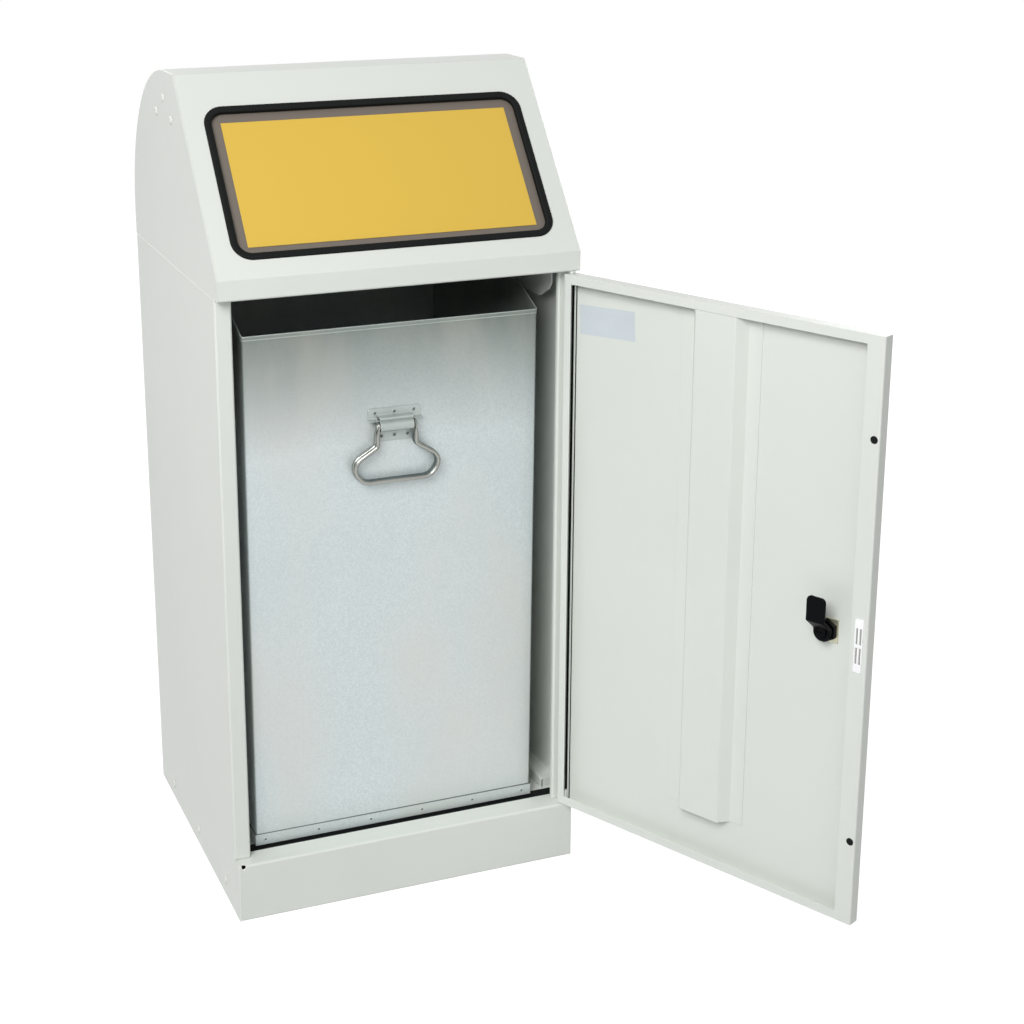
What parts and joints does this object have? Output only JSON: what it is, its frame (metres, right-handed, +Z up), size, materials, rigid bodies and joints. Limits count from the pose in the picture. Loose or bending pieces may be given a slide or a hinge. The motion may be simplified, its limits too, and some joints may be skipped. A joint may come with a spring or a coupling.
{
  "type": "recycling bin",
  "caption": "Tall sheet-metal recycling bin with slanted hood, rubber-edged self-closing flap, lockable hinged door and a removable galvanised inner bin.",
  "frame": {"origin": "on the floor, under the middle of the cabinet's footprint", "axes": "+Z up, the door side faces -Y, +X to the right for someone who faces the door"},
  "size_m": [0.5698, 0.7243, 0.912],
  "materials": {
    "cabinet_paint": "satin light grey powder coat",
    "flap_paint": "satin warm grey powder coat",
    "panel_yellow": "satin yellow coat, bare of words",
    "black_rubber": "satin black rubber",
    "galvanised_sheet": "hot-dip galvanised, faint spangle",
    "bright_steel": "bright plated",
    "spring_steel": "plain steel",
    "zinc_plate": "pale passivated zinc",
    "lock_black": "semi-gloss black",
    "white_nylon": "white moulded plastic",
    "label_paper": "blank pale label"
  },
  "bodies": {
    "cabinet": {"side_panel_left": "cabinet_paint", "side_panel_right": "cabinet_paint", "back_panel": "cabinet_paint", "base_pan": "cabinet_paint", "plinth_front": "cabinet_paint", "bin_guide_left": "cabinet_paint", "bin_guide_right": "cabinet_paint", "base_rivets": "cabinet_paint", "head_rail": "cabinet_paint", "hood_shell": "cabinet_paint", "hood_side_left": "cabinet_paint", "hood_side_right": "cabinet_paint", "seam_screws": "zinc_plate", "seam_nuts": "zinc_plate", "opening_trim": "black_rubber", "chute_plate_left": "cabinet_paint", "chute_plate_right": "cabinet_paint", "flap_bracket_left": "zinc_plate", "flap_bracket_right": "zinc_plate", "flap_bushes": "white_nylon", "hood_rivets": "cabinet_paint", "flap_spring_left": "spring_steel", "flap_spring_right": "spring_steel", "hinge_pin_upper": "zinc_plate", "hinge_pin_lower": "zinc_plate"},
    "flap": {"flap_panel": "flap_paint", "flap_colour_panel": "panel_yellow", "flap_arm_left": "zinc_plate", "flap_arm_right": "zinc_plate", "arm_rivets": "zinc_plate", "flap_axle": "bright_steel", "axle_clips": "zinc_plate"},
    "door": {"door_panel": "cabinet_paint", "door_stiffener": "cabinet_paint", "hinge_bushes": "white_nylon", "lock_housing": "lock_black", "lock_plate": "zinc_plate", "lock_nut": "lock_black", "door_buffers": "black_rubber", "magnet_housing": "white_nylon", "magnet_poles": "spring_steel", "door_label": "label_paper"},
    "lock_rotor": {"lock_insert": "lock_black", "lock_cam": "lock_black", "cam_screw": "lock_black"},
    "bin": {"bin_shell": "galvanised_sheet", "bin_base": "galvanised_sheet", "bin_rivets": "galvanised_sheet", "handle_bracket": "galvanised_sheet", "handle_rivets": "galvanised_sheet"},
    "bin_handle": {"bin_handle": "bright_steel"}
  },
  "joints": [
    {"name": "door_swing", "type": "hinge", "parent": "cabinet", "child": "door", "pos_m": [0.1926, -0.1821, 0.382], "axis": [0, 0, 1], "range_deg": [-116, 4]},
    {"name": "flap_swing", "type": "hinge", "parent": "cabinet", "child": "flap", "pos_m": [0, -0.03905, 0.87739], "axis": [1, 0, 0], "range_deg": [0, 45], "stiffness_Nm_per_rad": 1, "springref_deg": -57.3, "deforming": ["flap_spring_left", "flap_spring_right"]},
    {"name": "lock_turn", "type": "hinge", "parent": "door", "child": "lock_rotor", "pos_m": [0.3454, -0.48308, 0.382], "axis": [-0.8988, -0.4384, 0], "range_deg": [-90, 0]},
    {"name": "bin_slide", "type": "slide", "parent": "cabinet", "child": "bin", "axis": [0, -1, 0], "range_m": [0, 0.36]},
    {"name": "handle_swing", "type": "hinge", "parent": "bin", "child": "bin_handle", "pos_m": [-0.0035, -0.16427, 0.54512], "axis": [-1, 0, 0], "range_deg": [0, 95]}
  ]
}
